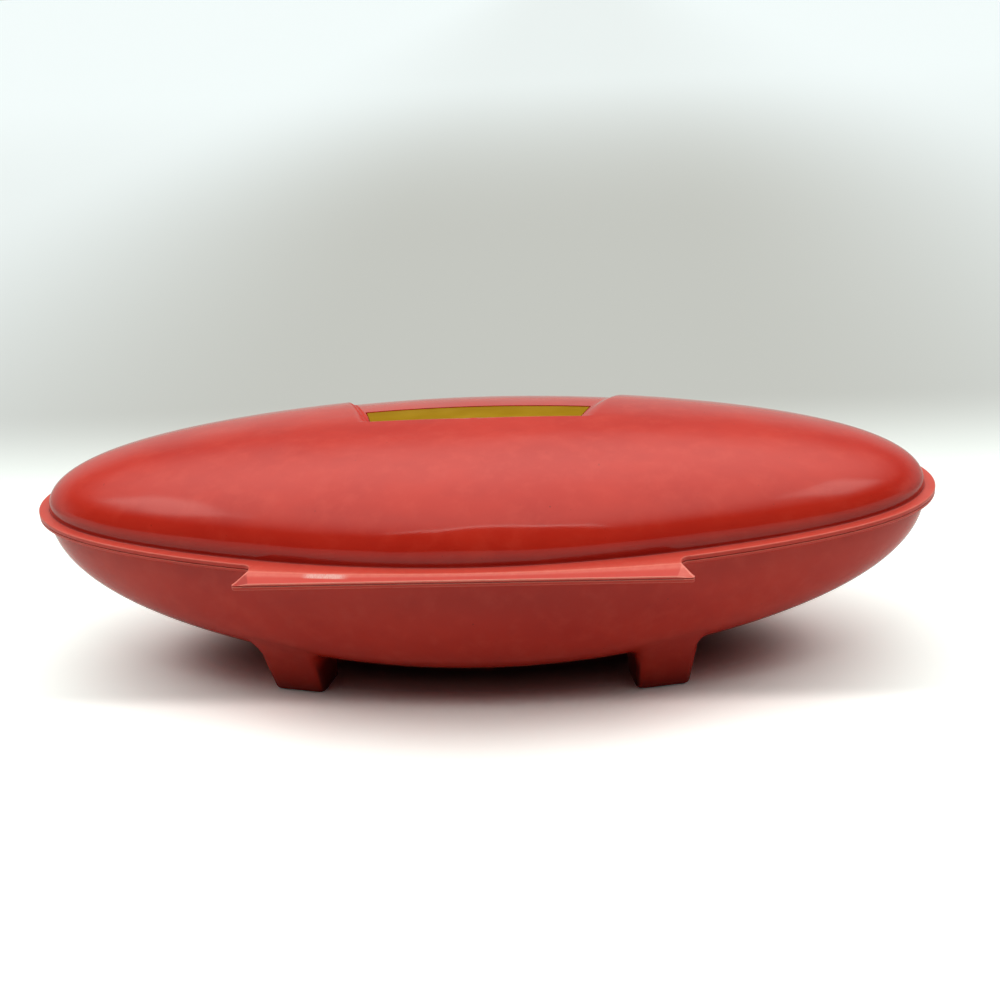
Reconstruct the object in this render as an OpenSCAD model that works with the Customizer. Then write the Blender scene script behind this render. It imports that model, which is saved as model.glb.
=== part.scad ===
// Attachment box for a sewing machine: a pod-shaped clamshell moulded in one shot,
// with four feet, a fold-over hinge along the back and a lift-out tray inside.
// Millimetres. Origin on the floor under the middle; +Y is the front, +Z is up.

/* [Case] */
// Length over the rims
case_l = 270; // [230:2:310]
// Width over the rims
case_w = 116; // [106:1:130]
// Height of the joint between base and lid above the floor
joint_z = 51.4; // [47:0.2:60]
// How far the sides are drawn in between the middle and the tips
side_draw = 0.056; // [0:0.002:0.08]
// Gap between the closed rims
rim_gap = 0.1; // [0.05:0.05:0.4]

/* [Lid] */
// Height of the dome above the lid rim
dome_h = 21.7; // [18:0.1:30]
// Width of the lid rim outside of the dome
lid_rim_w = 3.2; // [2.4:0.1:5]
// Thickness of the lid rim
lid_rim_t = 1.3; // [1:0.1:2.4]
// Thickness of the lid wall
lid_wall = 1.8; // [1.5:0.1:2.6]
// Fullness of the dome; 2 is a plain ellipse
dome_full = 2.35; // [2:0.05:2.8]

/* [Panel pressed into the lid] */
// Depth of the panel below the dome
panel_drop = 1.1; // [0.6:0.1:1.6]
// Distance of the panel's back edge in front of the crown
panel_back = 2.7; // [1:0.1:10]
// Width of the panel's back edge
panel_back_w = 64.6; // [50:0.2:76]
// Angle at which each side opens towards the front
panel_angle = 18.5; // [0:0.5:24]
// Height of the panel's front edge above the lid rim
panel_lift = 4; // [3.6:0.2:9]

/* [Name strip] */
// Distance of the strip in front of the panel's back edge
strip_in = 2.6; // [1.5:0.1:8]
// Width of the strip from back to front
strip_w = 13; // [8:0.1:20]
// Margin between the strip's pocket and the panel's sides
strip_margin = 0.8; // [0.6:0.1:4]
// Thickness of the strip
strip_t = 0.4; // [0.3:0.05:0.6]
// Depth of the strip's pocket below the panel
pocket_drop = 0.6; // [0.4:0.05:0.8]
// Clearance round the strip in its pocket
strip_gap = 0.35; // [0.1:0.05:0.6]
// Thickness of the glue under the strip
glue_t = 0.05; // [0.03:0.01:0.1]

/* [Base] */
// Depth of the bowl below the base rim
bowl_h = 44.6; // [38:0.2:46]
// Width of the base rim outside of the bowl
base_rim_w = 2.7; // [2:0.1:4]
// Thickness of the base rim
base_rim_t = 0.85; // [0.7:0.05:1.6]
// Thickness of the base wall
base_wall = 2.4; // [1.8:0.1:3]
// Fullness of the bowl seen from the front
bowl_full_x = 2.14; // [2:0.02:2.6]
// Fullness of the bowl seen from the end
bowl_full_y = 2.8; // [2.4:0.05:3.2]

/* [Locating wall] */
// Height of the locating wall above the joint
spigot_h = 2.6; // [1.5:0.1:4]
// Thickness of the locating wall
spigot_t = 1.2; // [1:0.1:1.8]
// Clearance between the locating wall and the lid
spigot_gap = 0.3; // [0.2:0.05:0.6]
// Depth of the wall's root below the joint
spigot_root = 3; // [2:0.2:5]

/* [Tray ribs] */
// Thickness of the ribs that carry the tray
rib_t = 1.8; // [1.2:0.1:2.4]
// Height of the ribs
rib_h = 16; // [8:1:20]
// Distance between the ribs along the case
rib_pitch = 70; // [50:1:80]
// Clearance between a rib and the tray's bays
rib_gap = 0.6; // [0.4:0.1:1.2]

/* [Feet] */
// Distance between the middles of the feet's outer faces along the case
feet_l = 108.4; // [92:0.4:120]
// Distance between the feet's outer faces across the case, at the floor
feet_w = 58; // [50:0.5:64]
// Width of a foot at the floor
foot_w = 15; // [12:0.2:18]
// Depth of a foot at the floor
foot_depth = 12; // [10:0.2:15]
// Angle by which the feet turn to follow the case's sides
foot_turn = 11.5; // [0:0.5:16]
// Lean of a foot's outer face
foot_lean = 20; // [10:1:24]
// Draft of a foot's other faces
foot_draft = 3; // [1:0.5:6]
// Radius of a foot's upright corners
foot_r = 2.5; // [1.5:0.1:3.5]
// Radius of a foot's lower edge
foot_edge = 1.2; // [0.4:0.1:1.4]
// Reach of the fillet between a foot and the bowl
foot_fillet = 3; // [1:0.2:4]

/* [Hinge lip] */
// Length of the crease where the lip starts to slope
lip_l = 115.6; // [90:0.4:130]
// Distance of the hinge line behind the rim
lip_out = 2.7; // [2:0.1:5]
// How far the crease's ends lie in front of its middle
lip_sweep = 3.7; // [2:0.1:4.4]
// Extra length of the lip's lower edge at each end
lip_mitre = 3.2; // [1.5:0.1:5]
// Extra length of the lip's upper edge at each end
lip_hip = 0.8; // [0.2:0.1:1.2]
// Thickness of each lip at the hinge line
lip_edge_t = 0.6; // [0.45:0.05:0.8]
// Radius of the inner corner between a rim and its lip
lip_fillet = 2.8; // [1:0.2:3.4]
// Thickness of the hinge's web
web_t = 0.3; // [0.2:0.05:0.4]

/* [Thumb tab] */
// Width of the thumb tab
tab_w = 44; // [30:1:70]
// Projection of the thumb tab beyond the rim
tab_out = 3.35; // [2:0.05:6]
// Corner radius of the thumb tab
tab_r = 3; // [1.5:0.1:5]
// Height of the grip bead along the tab's edge
bead_h = 0.6; // [0.3:0.1:1]

/* [Tray] */
// Height of the tray flange's underside below the joint
tray_drop = 2.2; // [1.6:0.1:4]
// Thickness of the tray's flange
flange_t = 1.6; // [1.2:0.1:2.4]
// Width of the tray's flange
flange_w = 3.6; // [3:0.1:5]
// Clearance between the tray and the locating wall
tray_gap = 0.4; // [0.2:0.1:1]
// Thickness of the tray's walls and floors
tray_wall = 1.4; // [1:0.1:2]
// Depth of the middle bays
bay_depth = 18; // [14:0.5:20]
// Depth of the bays in the tips
tip_depth = 10.5; // [7:0.5:12]
// Length of the middle bay
mid_bay_l = 54; // [46:1:60]
// Length of each side bay
side_bay_l = 52; // [48:1:54]
// Length of each tip bay
tip_bay_l = 33; // [22:1:35]
// Distance of the tool channel's inner wall from the middle
tool_bay_y = 23; // [18:1:28]

/* [Tray fittings] */
// Diameter of the post for pattern discs
disc_post_d = 7; // [5:0.2:10]
// Height of the post above the bay's floor
disc_post_h = 15; // [8:0.5:17]
// Diameter of a bobbin post
bobbin_post_d = 5.6; // [4:0.1:6]
// Height of a bobbin post above the bay's floor
bobbin_post_h = 9; // [6:0.5:14]
// Distance between bobbin posts
bobbin_pitch = 23; // [21:0.5:25]
// Number of slots for presser feet
foot_slots = 5; // [3:1:6]
// Height of the dividers between the slots
divider_h = 12; // [6:0.5:14]
// Length of each lifting grip
grip_l = 34; // [28:1:40]
// Height of the lifting grips above the flange
grip_h = 11; // [9:0.5:14]
// Diameter of the finger hole in each grip
grip_hole_d = 13; // [8:0.5:15]

/* [Hidden] */
coral = [0.86, 0.36, 0.30];
gold = [0.74, 0.64, 0.30];
e = 0.01;
lap = 0.05;
lip_root = 2.5;
foot_root = 0.4;
core_r = 0.6;
corner_points = 6;

// Mesh of the rounded bodies
sides = 80;
rings = 10;
ring_ease = 1.4;
crown_rho = 0.1;

// Heights that the parts share
lid_z = joint_z + rim_gap / 2;
base_z = joint_z - rim_gap / 2;
dome_z = lid_z + lid_rim_t;
bowl_z = base_z - base_rim_t;
tray_z = joint_z - tray_drop;
tray_top = tray_z + flange_t;

// Insets from the rim outline, from outside to inside
lid_inner = lid_rim_w + lid_wall;
spigot_out = lid_inner + spigot_gap;
spigot_in = spigot_out + spigot_t;
flange_out = spigot_in + tray_gap;
tub_out = flange_out + flange_w;
rib_in = tub_out - rib_gap;

pocket_floor = panel_drop + pocket_drop;
hinge_y = -case_w / 2 - lip_out;
lip_in_y = -half_width(lip_l / 2, 0) + lip_root;
web_r = rim_gap / 2 + lip_edge_t;

// Share of the plain ellipse's width at a share s of the half length
function draw_in(s) = 1 - 4 * side_draw * s * s * (1 - s * s);

// Half width of the case at x, for an outline drawn in from the rims
function half_width(x, inset) = let (s = x / (case_l / 2 - inset))
    (case_w / 2 - inset) * sqrt(1 - s * s) * draw_in(s);

// Outline of the case, drawn in from the rims and shrunk by fx and fy
function boat(inset, fx = 1, fy = 1) = [for (i = [0:sides - 1]) let (t = 360 * i / sides)
    [(case_l / 2 - inset) * fx * cos(t), (case_w / 2 - inset) * fy * sin(t) * draw_in(fx * cos(t))]];

// Height of the dome over a point, for a dome drawn in from its outer face
function dome_at(x, y, inset) = let (
    s = x / (case_l / 2 - lid_rim_w - inset),
    v = y / ((case_w / 2 - lid_rim_w - inset) * draw_in(s)),
    rho = sqrt(s * s + v * v))
    dome_z + (dome_h - inset) * pow(1 - pow(rho, dome_full), 1 / dome_full);

// Points of a rounded body: rings that shrink from the rim to the crown
function body_points(inset, h, px, py) = [for (j = [0:rings]) let (
    u = acos(pow(crown_rho, px / 2)) * pow(j / rings, ring_ease),
    k = pow(sin(u), 2 / px),
    fx = pow(cos(u), 2 / px),
    fy = pow(1 - pow(k, py), 1 / py))
    for (q = boat(inset, fx, fy)) [q.x, q.y, h * k]];

// Solid of those rings, closed flat at both ends and carried down by a skirt
module rounded_body(inset, h, px, py, skirt = 0) {
    base_ring = [for (q = boat(inset)) [q.x, q.y, -skirt]];
    pts = concat(skirt > 0 ? base_ring : [], body_points(inset, h, px, py));
    levels = len(pts) / sides;
    polyhedron(points = pts, faces = concat(
        [[for (i = [0:sides - 1]) i]],
        [[for (i = [0:sides - 1]) levels * sides - 1 - i]],
        [for (j = [0:levels - 2], i = [0:sides - 1]) let (n = (i + 1) % sides)
            [j * sides + i, (j + 1) * sides + i, (j + 1) * sides + n]],
        [for (j = [0:levels - 2], i = [0:sides - 1]) let (n = (i + 1) % sides)
            [j * sides + i, (j + 1) * sides + n, j * sides + n]]), convexity = 4);
}

// Dome of the lid, drawn in from its outer face
module dome(inset, skirt = 0) {
    translate([0, 0, dome_z])
        rounded_body(lid_rim_w + inset, dome_h - inset, dome_full, dome_full, skirt);
}

// Bowl of the base, drawn in from its outer face
module bowl(inset, skirt = 0) {
    translate([0, 0, bowl_z])
        mirror([0, 0, 1])
            rounded_body(base_rim_w + inset, bowl_h - inset, bowl_full_x, bowl_full_y, skirt);
}

// Flat plate with the outline of the case
module boat_plate(inset, z, t) {
    translate([0, 0, z])
        linear_extrude(t)
            polygon(boat(inset));
}

// Half width of the panel at y
function panel_half(y) = panel_back_w / 2 + (y - panel_back) * tan(panel_angle);

// Upright prism over the panel, grown on its sides, its back and its front edge
module fan(grow) {
    side = grow / cos(panel_angle);
    y0 = panel_back - grow;
    y1 = case_w / 2;
    translate([0, 0, dome_z + panel_lift - grow])
        linear_extrude(dome_h + 1)
            polygon([[-panel_half(y0) - side, y0], [panel_half(y0) + side, y0],
                     [panel_half(y1) + side, y1], [-panel_half(y1) - side, y1]]);
}

// Dome with the panel pressed in, drawn in from its outer face
module pressed_dome(inset, skirt = 0) {
    difference() {
        dome(inset, skirt);
        difference() {
            fan(inset);
            dome(inset + panel_drop, e);
        }
    }
}

// Plate that follows the dome inside the panel, between two depths below the dome
module panel_patch(top, bottom, gap) {
    nx = 16;
    ny = 4;
    y0 = panel_back + strip_in + gap;
    y1 = panel_back + strip_in + strip_w - gap;
    side = (strip_margin + gap) / cos(panel_angle);
    grid = [for (j = [0:ny], i = [0:nx]) let (
        y = y0 + (y1 - y0) * j / ny,
        x = (panel_half(y) - side) * (2 * i / nx - 1))
        [x, y]];
    row = nx + 1;
    half = len(grid);
    edge = concat([for (i = [0:nx - 1]) i], [for (j = [0:ny - 1]) nx + j * row],
                  [for (i = [0:nx - 1]) half - 1 - i], [for (j = [0:ny - 1]) half - row - j * row]);
    polyhedron(
        points = concat([for (q = grid) [q.x, q.y, dome_at(q.x, q.y, bottom)]],
                        [for (q = grid) [q.x, q.y, dome_at(q.x, q.y, top)]]),
        faces = concat(
            [for (j = [0:ny - 1], i = [0:nx - 1]) let (a = j * row + i) [a, a + 1, a + row + 1]],
            [for (j = [0:ny - 1], i = [0:nx - 1]) let (a = j * row + i) [a, a + row + 1, a + row]],
            [for (j = [0:ny - 1], i = [0:nx - 1]) let (a = half + j * row + i) [a, a + row + 1, a + 1]],
            [for (j = [0:ny - 1], i = [0:nx - 1]) let (a = half + j * row + i) [a, a + row, a + row + 1]],
            [for (i = [0:len(edge) - 1]) let (a = edge[i], b = edge[(i + 1) % len(edge)])
                [a, a + half, b + half]],
            [for (i = [0:len(edge) - 1]) let (a = edge[i], b = edge[(i + 1) % len(edge)])
                [a, b + half, b]]), convexity = 4);
}

// Fills the inner corners between a rim and its lip
module lip_corners(z, t) {
    x0 = lip_l / 2 - lap;
    x1 = x0 + lip_fillet;
    y1 = -half_width(x1, 0);
    for (side = [0, 1])
        mirror([side, 0, 0])
            translate([0, 0, z])
                difference() {
                    translate([x0 - 1, y1 - lip_fillet, 0])
                        cube([lip_fillet + 1, lip_fillet + 2, t]);
                    translate([x1, y1 - lip_fillet, -1])
                        cylinder(r = lip_fillet, h = t + 2, $fn = 48);
                }
}

// Lip of the lid: a plate that slopes down from a swept crease to the hinge line
module lid_lip() {
    steps = 16;
    stations = [for (i = [0:steps]) 2 * i / steps - 1];
    pts = [for (s = stations) let (yc = -case_w / 2 + lip_sweep * s * s)
        each [[s * lip_l / 2, lip_in_y, dome_z], [s * lip_l / 2, yc, dome_z],
              [s * (lip_l / 2 + lip_hip), hinge_y, lid_z + lip_edge_t],
              [s * (lip_l / 2 + lip_mitre), hinge_y, lid_z], [s * lip_l / 2, lip_in_y, lid_z]]];
    last = 5 * steps;
    polyhedron(points = pts, faces = concat(
        [[0, 3, 4], [0, 1, 3], [1, 2, 3]],
        [[last, last + 4, last + 3], [last, last + 3, last + 1], [last + 1, last + 3, last + 2]],
        [for (i = [0:steps - 1], k = [0:4]) [5 * i + k, 5 * i + 5 + k, 5 * i + (k + 1) % 5]],
        [for (i = [0:steps - 1], k = [0:4])
            [5 * i + (k + 1) % 5, 5 * i + 5 + k, 5 * i + 5 + (k + 1) % 5]]), convexity = 4);
}

// Plate at the front that a thumb lifts, with a bead along its edge
module thumb_tab() {
    front = case_w / 2 + tab_out;
    back = case_w / 2 - lid_rim_w;
    translate([-tab_w / 2, back, lid_z])
        cube([tab_w, front - tab_r - back, lid_rim_t]);
    translate([-tab_w / 2 + tab_r, back, lid_z])
        cube([tab_w - 2 * tab_r, front - back, lid_rim_t]);
    for (x = [-1, 1])
        translate([x * (tab_w / 2 - tab_r), front - tab_r, lid_z])
            cylinder(r = tab_r, h = lid_rim_t, $fn = 48);
    translate([-tab_w / 2 + tab_r, front - bead_h, lid_z + lid_rim_t])
        rotate([0, 90, 0])
            cylinder(r = bead_h, h = tab_w - 2 * tab_r, $fn = 32);
}

module lid_shell() {
    color(coral)
        difference() {
            union() {
                pressed_dome(0);
                boat_plate(0, lid_z, lid_rim_t);
                lid_lip();
                lip_corners(lid_z, lid_rim_t);
                thumb_tab();
            }
            pressed_dome(lid_wall, lid_rim_t + e);
            panel_patch(0, pocket_floor, 0);
        }
}

module name_plate() {
    color(gold)
        panel_patch(pocket_floor - glue_t - strip_t, pocket_floor - glue_t, strip_gap);
}

// Above 0 outside the bowl, 0 on its outer face
function bowl_side(p, z) = let (
    k = (bowl_z - z) / bowl_h,
    s = p.x / (case_l / 2 - base_rim_w),
    v = p.y / ((case_w / 2 - base_rim_w) * draw_in(s)),
    fx = pow(1 - pow(k, bowl_full_x), 1 / bowl_full_x),
    fy = pow(1 - pow(k, bowl_full_y), 1 / bowl_full_y))
    s * s / fx / fx + v * v / fy / fy - 1;

// Height of the bowl's outer face at a point in plan, found by halving a range
function bowl_over(p, low, high, n = 20) = let (mid = (low + high) / 2)
    n == 0 ? mid
           : bowl_side(p, mid) > 0 ? bowl_over(p, mid, high, n - 1) : bowl_over(p, low, mid, n - 1);

// Point i of a foot's rounded outline at height z, drawn in by an inset, with corners of radius r
function foot_point(i, z, inset, r) = let (
    corner = floor(i / corner_points),
    a = 90 * (corner + (i % corner_points) / (corner_points - 1)),
    side = foot_w / 2 + z * tan(foot_draft) - inset - r,
    front = -z * tan(foot_lean) + inset + r,
    back = foot_depth + z * tan(foot_draft) - inset - r,
    x = (corner == 0 || corner == 3 ? side : -side) + r * cos(a),
    y = (corner < 2 ? back : front) + r * sin(a))
    [feet_l / 2 + x * cos(foot_turn) - y * sin(foot_turn),
     -feet_w / 2 + x * sin(foot_turn) + y * cos(foot_turn)];

// Height at which a foot's wall meets the bowl, found step by step
function foot_meets(i, z, n = 8) = n == 0 ? z
    : foot_meets(i, bowl_over(foot_point(i, z, 0, foot_r), bowl_z - bowl_h, bowl_z), n - 1);

// Foot under the back of the case's right half: a rounded lower edge, leaning walls and a fillet
module foot() {
    n = 4 * corner_points;
    edge_steps = 3;
    fillet_steps = 4;
    meets = [for (i = [0:n - 1]) foot_meets(i, foot_depth)];
    ends = [for (i = [0:n - 1])
        bowl_over(foot_point(i, meets[i], -foot_fillet, foot_r + foot_fillet), bowl_z - bowl_h, bowl_z)];
    edge_rings = [for (j = [0:edge_steps]) let (
        a = 90 * j / edge_steps,
        inset = foot_edge * (1 - sin(a)),
        z = foot_edge * (1 - cos(a)))
        for (i = [0:n - 1]) let (p = foot_point(i, z, inset, foot_r - inset))
            [p.x, p.y, z]];
    fillet_rings = [for (j = [0:fillet_steps]) let (t = j / fillet_steps, out = foot_fillet * t * t)
        for (i = [0:n - 1]) let (
            z_wall = meets[i] - foot_fillet * (1 - t) * (1 - t),
            p = foot_point(i, z_wall, -out, foot_r + out))
            [p.x, p.y, z_wall + (ends[i] + foot_root - meets[i]) * t * t]];
    pts = concat(edge_rings, fillet_rings, [[feet_l / 2, -feet_w / 2 + foot_depth, joint_z / 2]]);
    levels = edge_steps + fillet_steps + 2;
    last = (levels - 1) * n;
    polyhedron(points = pts, faces = concat(
        [[for (i = [0:n - 1]) i]],
        [for (j = [0:levels - 2], i = [0:n - 1]) let (k = (i + 1) % n)
            [j * n + i, (j + 1) * n + i, (j + 1) * n + k]],
        [for (j = [0:levels - 2], i = [0:n - 1]) let (k = (i + 1) % n)
            [j * n + i, (j + 1) * n + k, j * n + k]],
        [for (i = [0:n - 1]) [last + i, levels * n, last + (i + 1) % n]]), convexity = 6);
}

// Hollow of that foot, open to the inside of the bowl
module foot_core() {
    n = 4 * corner_points;
    pts = [for (z = [base_wall, joint_z / 2], i = [0:n - 1])
        let (p = foot_point(i, z, base_wall, core_r))
        [p.x, p.y, z]];
    polyhedron(points = pts, faces = concat(
        [[for (i = [0:n - 1]) i], [for (i = [0:n - 1]) 2 * n - 1 - i]],
        [for (i = [0:n - 1]) [i, n + i, n + (i + 1) % n]],
        [for (i = [0:n - 1]) [i, n + (i + 1) % n, (i + 1) % n]]), convexity = 4);
}

// Repeats its children at the four feet
module at_feet() {
    for (x = [0, 1], y = [0, 1])
        mirror([x, 0, 0])
            mirror([0, y, 0])
                children();
}

// Ribs inside the bowl that carry the tray's flange
module tray_ribs() {
    t = rib_t;
    wall_mid = base_rim_w + base_wall / 2;
    for (i = [-1:1], side = [0, 1]) {
        x = i * rib_pitch;
        y = half_width(abs(x) + t / 2, rib_in);
        mirror([0, side, 0])
            translate([x - t / 2, y, tray_z - rib_h])
                cube([t, half_width(x, wall_mid) - y, rib_h]);
    }
    for (side = [0, 1])
        mirror([side, 0, 0])
            translate([case_l / 2 - rib_in, -t / 2, tray_z - rib_h])
                cube([rib_in - wall_mid, t, rib_h]);
}

// Hollow of the bowl, less the tray's ribs and the root of the locating wall
module base_hollow() {
    root_z = joint_z - spigot_root;
    top_z = joint_z + spigot_h + 1;
    difference() {
        bowl(base_wall, top_z - bowl_z);
        tray_ribs();
        difference() {
            boat_plate(0, root_z, top_z - root_z + 1);
            boat_plate(spigot_in, root_z - 1, top_z - root_z + 3);
        }
    }
}

module base_shell() {
    color(coral)
        difference() {
            union() {
                bowl(0);
                boat_plate(0, bowl_z, base_rim_t);
                boat_plate(spigot_out, bowl_z, joint_z + spigot_h - bowl_z);
                base_lip();
                lip_corners(base_z - lip_edge_t, lip_edge_t);
                at_feet()
                    foot();
            }
            base_hollow();
            at_feet()
                foot_core();
        }
}

// Lip of the base: a flat plate with mitred ends, under the lid's lip
module base_lip() {
    x0 = lip_l / 2;
    yc = -case_w / 2 + lip_sweep;
    translate([0, 0, base_z - lip_edge_t])
        linear_extrude(lip_edge_t)
            polygon([[-x0, lip_in_y], [-x0, yc], [-x0 - lip_mitre, hinge_y], [x0 + lip_mitre, hinge_y],
                     [x0, yc], [x0, lip_in_y]]);
}

// Thin web that folds round the hinge line and joins the two lips
module hinge_web() {
    l = lip_l;
    color(coral)
        translate([-l / 2, hinge_y, joint_z])
            difference() {
                rotate([0, 90, 0])
                    cylinder(r = web_r, h = l, $fn = 48);
                translate([-1, 0, 0])
                    rotate([0, 90, 0])
                        cylinder(r = web_r - web_t, h = l + 2, $fn = 48);
                translate([-1, 0, -web_r - 1])
                    cube([l + 2, web_r + 1, 2 * web_r + 2]);
            }
}

// Ends of the bays along the tray
side_x = mid_bay_l / 2;
tip_x = side_x + side_bay_l;
end_x = tip_x + tip_bay_l;

// Part of the tray's outline between two places along it
module bay(x0, x1, inset, z, t) {
    intersection() {
        boat_plate(inset, z, t);
        translate([x0, -case_w / 2, z - 1])
            cube([x1 - x0, case_w, t + 2]);
    }
}

// Hollows of the bays: three across the front, a channel behind them and one in each tip
module bay_hollows() {
    w = tray_wall;
    inset = tub_out + w;
    z = tray_top - bay_depth;
    t = bay_depth + 1;
    difference() {
        bay(-tip_x + w / 2, tip_x - w / 2, inset, z, t);
        translate([-case_l / 2, -tool_bay_y - w / 2, z - 1])
            cube([case_l, w, t + 2]);
        for (x = [-side_x, side_x])
            translate([x - w / 2, -tool_bay_y, z - 1])
                cube([w, case_w, t + 2]);
    }
    for (side = [0, 1])
        mirror([side, 0, 0])
            bay(tip_x + w / 2, end_x - w, inset, tray_top - tip_depth, tip_depth + 1);
}

// Upright post with a chamfered top, standing on a bay's floor
module post(x, y, d, h) {
    chamfer = d / 6;
    floor_z = tray_top - bay_depth;
    translate([x, y, floor_z - e]) {
        cylinder(d = d, h = h - chamfer + e, $fn = 48);
        translate([0, 0, h - chamfer + e])
            cylinder(d1 = d, d2 = d - 2 * chamfer, h = chamfer, $fn = 48);
    }
}

// Dividers between the slots for presser feet, across the middle bay
module slot_dividers() {
    front = half_width(side_x, tub_out + tray_wall);
    pitch = (front + tool_bay_y) / foot_slots;
    for (i = [1:foot_slots - 1])
        translate([-side_x, -tool_bay_y + i * pitch - tray_wall / 2, tray_top - bay_depth - e])
            cube([2 * side_x, tray_wall, divider_h + e]);
}

// Grip that stands on the wall between two bays, with a round top and a finger hole
module grip(x) {
    r = grip_h;
    y0 = (half_width(side_x, tub_out) - tool_bay_y) / 2;
    translate([x - tray_wall / 2, y0, tray_top])
        difference() {
            union() {
                translate([0, -grip_l / 2 + r, -bay_depth / 2])
                    cube([tray_wall, grip_l - 2 * r, bay_depth / 2 + grip_h]);
                for (y = [-1, 1])
                    translate([0, y * (grip_l / 2 - r), 0])
                        rotate([0, 90, 0])
                            cylinder(r = r, h = tray_wall, $fn = 64);
            }
            translate([-1, 0, (grip_h - grip_hole_d / 2) / 2])
                rotate([0, 90, 0])
                    cylinder(d = grip_hole_d, h = tray_wall + 2, $fn = 64);
        }
}

module tray() {
    w = tray_wall;
    mid_y = (half_width(tip_x, tub_out) - tool_bay_y) / 2;
    color(coral)
        union() {
            difference() {
                union() {
                    boat_plate(flange_out, tray_z, flange_t);
                    bay(-tip_x - w / 2, tip_x + w / 2, tub_out, tray_top - bay_depth - w, bay_depth);
                    bay(-end_x, end_x, tub_out, tray_top - tip_depth - w, tip_depth);
                }
                bay_hollows();
            }
            post(-side_x - side_bay_l / 2, mid_y, disc_post_d, disc_post_h);
            for (x = [-1, 1], y = [-1, 1])
                post(side_x + side_bay_l / 2 + x * bobbin_pitch / 2, mid_y + y * bobbin_pitch / 2,
                     bobbin_post_d, bobbin_post_h);
            slot_dividers();
            for (x = [-side_x, side_x])
                grip(x);
        }
}

base_shell();
lid_shell();
hinge_web();
name_plate();
tray();
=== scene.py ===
# Attachment box for a sewing machine: coral clamshell with four feet, a fold-over hinge,
# a gold strip on the lid and a lift-out tray. Sizes are in millimetres unless a comment
# says otherwise, Z is up, and the hinge side (-Y) faces the camera.
import math

import bmesh
import bpy
import numpy as np
from mathutils import Matrix


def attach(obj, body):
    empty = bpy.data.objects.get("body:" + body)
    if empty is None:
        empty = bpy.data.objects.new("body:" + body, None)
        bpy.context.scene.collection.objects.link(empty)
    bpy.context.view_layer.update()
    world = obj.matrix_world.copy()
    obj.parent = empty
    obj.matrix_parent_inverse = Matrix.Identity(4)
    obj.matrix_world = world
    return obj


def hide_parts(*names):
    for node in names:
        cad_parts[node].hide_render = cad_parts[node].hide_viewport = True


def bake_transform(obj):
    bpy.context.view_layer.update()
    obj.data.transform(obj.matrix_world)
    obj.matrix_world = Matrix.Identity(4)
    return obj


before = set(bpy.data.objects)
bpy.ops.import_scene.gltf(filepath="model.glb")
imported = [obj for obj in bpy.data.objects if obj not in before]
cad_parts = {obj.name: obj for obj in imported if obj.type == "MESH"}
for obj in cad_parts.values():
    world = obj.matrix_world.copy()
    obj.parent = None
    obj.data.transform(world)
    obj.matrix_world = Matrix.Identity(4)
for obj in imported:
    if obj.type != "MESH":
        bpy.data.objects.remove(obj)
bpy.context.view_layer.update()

MM = 0.001                            # one millimetre in metres
SMOOTH_ANGLE = math.radians(38)       # edges that fold more than this stay sharp

# Sizes of the case
HALF_L, HALF_W = 135.0, 58.0          # over the rims
DRAW = 0.056                          # how far the sides are drawn in
JOINT_Z = 51.4
LID_Z, BASE_Z = 51.45, 51.35          # faces of the closed rims
DOME_IN, DOME_H, DOME_P = 3.2, 21.7, 2.35
RIM_TOP_Z = 52.75                     # upper face of the lid's rim
BOWL_IN, BOWL_H, BOWL_PX, BOWL_PY = 2.7, 44.6, 2.14, 2.8
RIM_LOW_Z = 50.5                      # lower face of the base's rim
LID_WALL, BASE_WALL = 1.8, 2.4

PANEL_DROP, PANEL_BACK, PANEL_HALF, PANEL_ANGLE = 1.1, 2.7, 32.3, math.radians(18.5)
PANEL_FRONT_Z = RIM_TOP_Z + 4.0
POCKET_DROP, STRIP_IN, STRIP_W, STRIP_MARGIN = 0.6, 1.9, 13.0, 0.6
STRIP_T, STRIP_GAP, STRIP_EDGE, GLUE_T = 0.4, 0.4, 0.08, 0.05
STRIP_BOW, STRIP_SHORT = 1.8, 1.1

LIP_HALF, LIP_OUT, LIP_SWEEP = 57.8, 2.7, 3.7
CREASE_END_Y = -HALF_W + LIP_SWEEP    # where the swept crease meets the mitres
LIP_EDGE, LIP_CURL = 0.6, 2.8         # thickness at the hinge, radius of the inner corners
HIP_FALL, HIP_SPREAD = 0.16, 0.28     # slope and spread of the facets at the lip's ends
HIP_CLIMB, HIP_LIFT = 0.109, 0.4      # their rise towards the front, and past the crease
LIP_BELOW = 0.3                       # extra thickness of the base's lip at the hinge
LIP_TIP_X, LIP_TIP_R = 59.9, 0.8      # centre and radius of the blunt tips
HINGE_Y = -HALF_W - LIP_OUT
LIP_FRONT = HINGE_Y + 0.1             # the lips end just short of the hinge line
TAB_HALF, TAB_FRONT, TAB_R, BEAD_R = 22.0, HALF_W + 3.35, 3.0, 0.6

SPIGOT_OUT, SPIGOT_IN, SPIGOT_TOP = 5.3, 6.5, 54.0    # locating wall
SPIGOT_R = 0.25                       # radius along its top

LID_EDGE_R, BASE_EDGE_R = 0.3, 0.2    # radii along the edges of the rims
DOME_FILLET, BOWL_FILLET = 0.45, 0.5  # radii between the rims and the dome or bowl
DOME_RINGS, LID_INNER_RINGS, BOWL_RINGS, BOWL_INNER_RINGS = 150, 120, 100, 30

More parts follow.
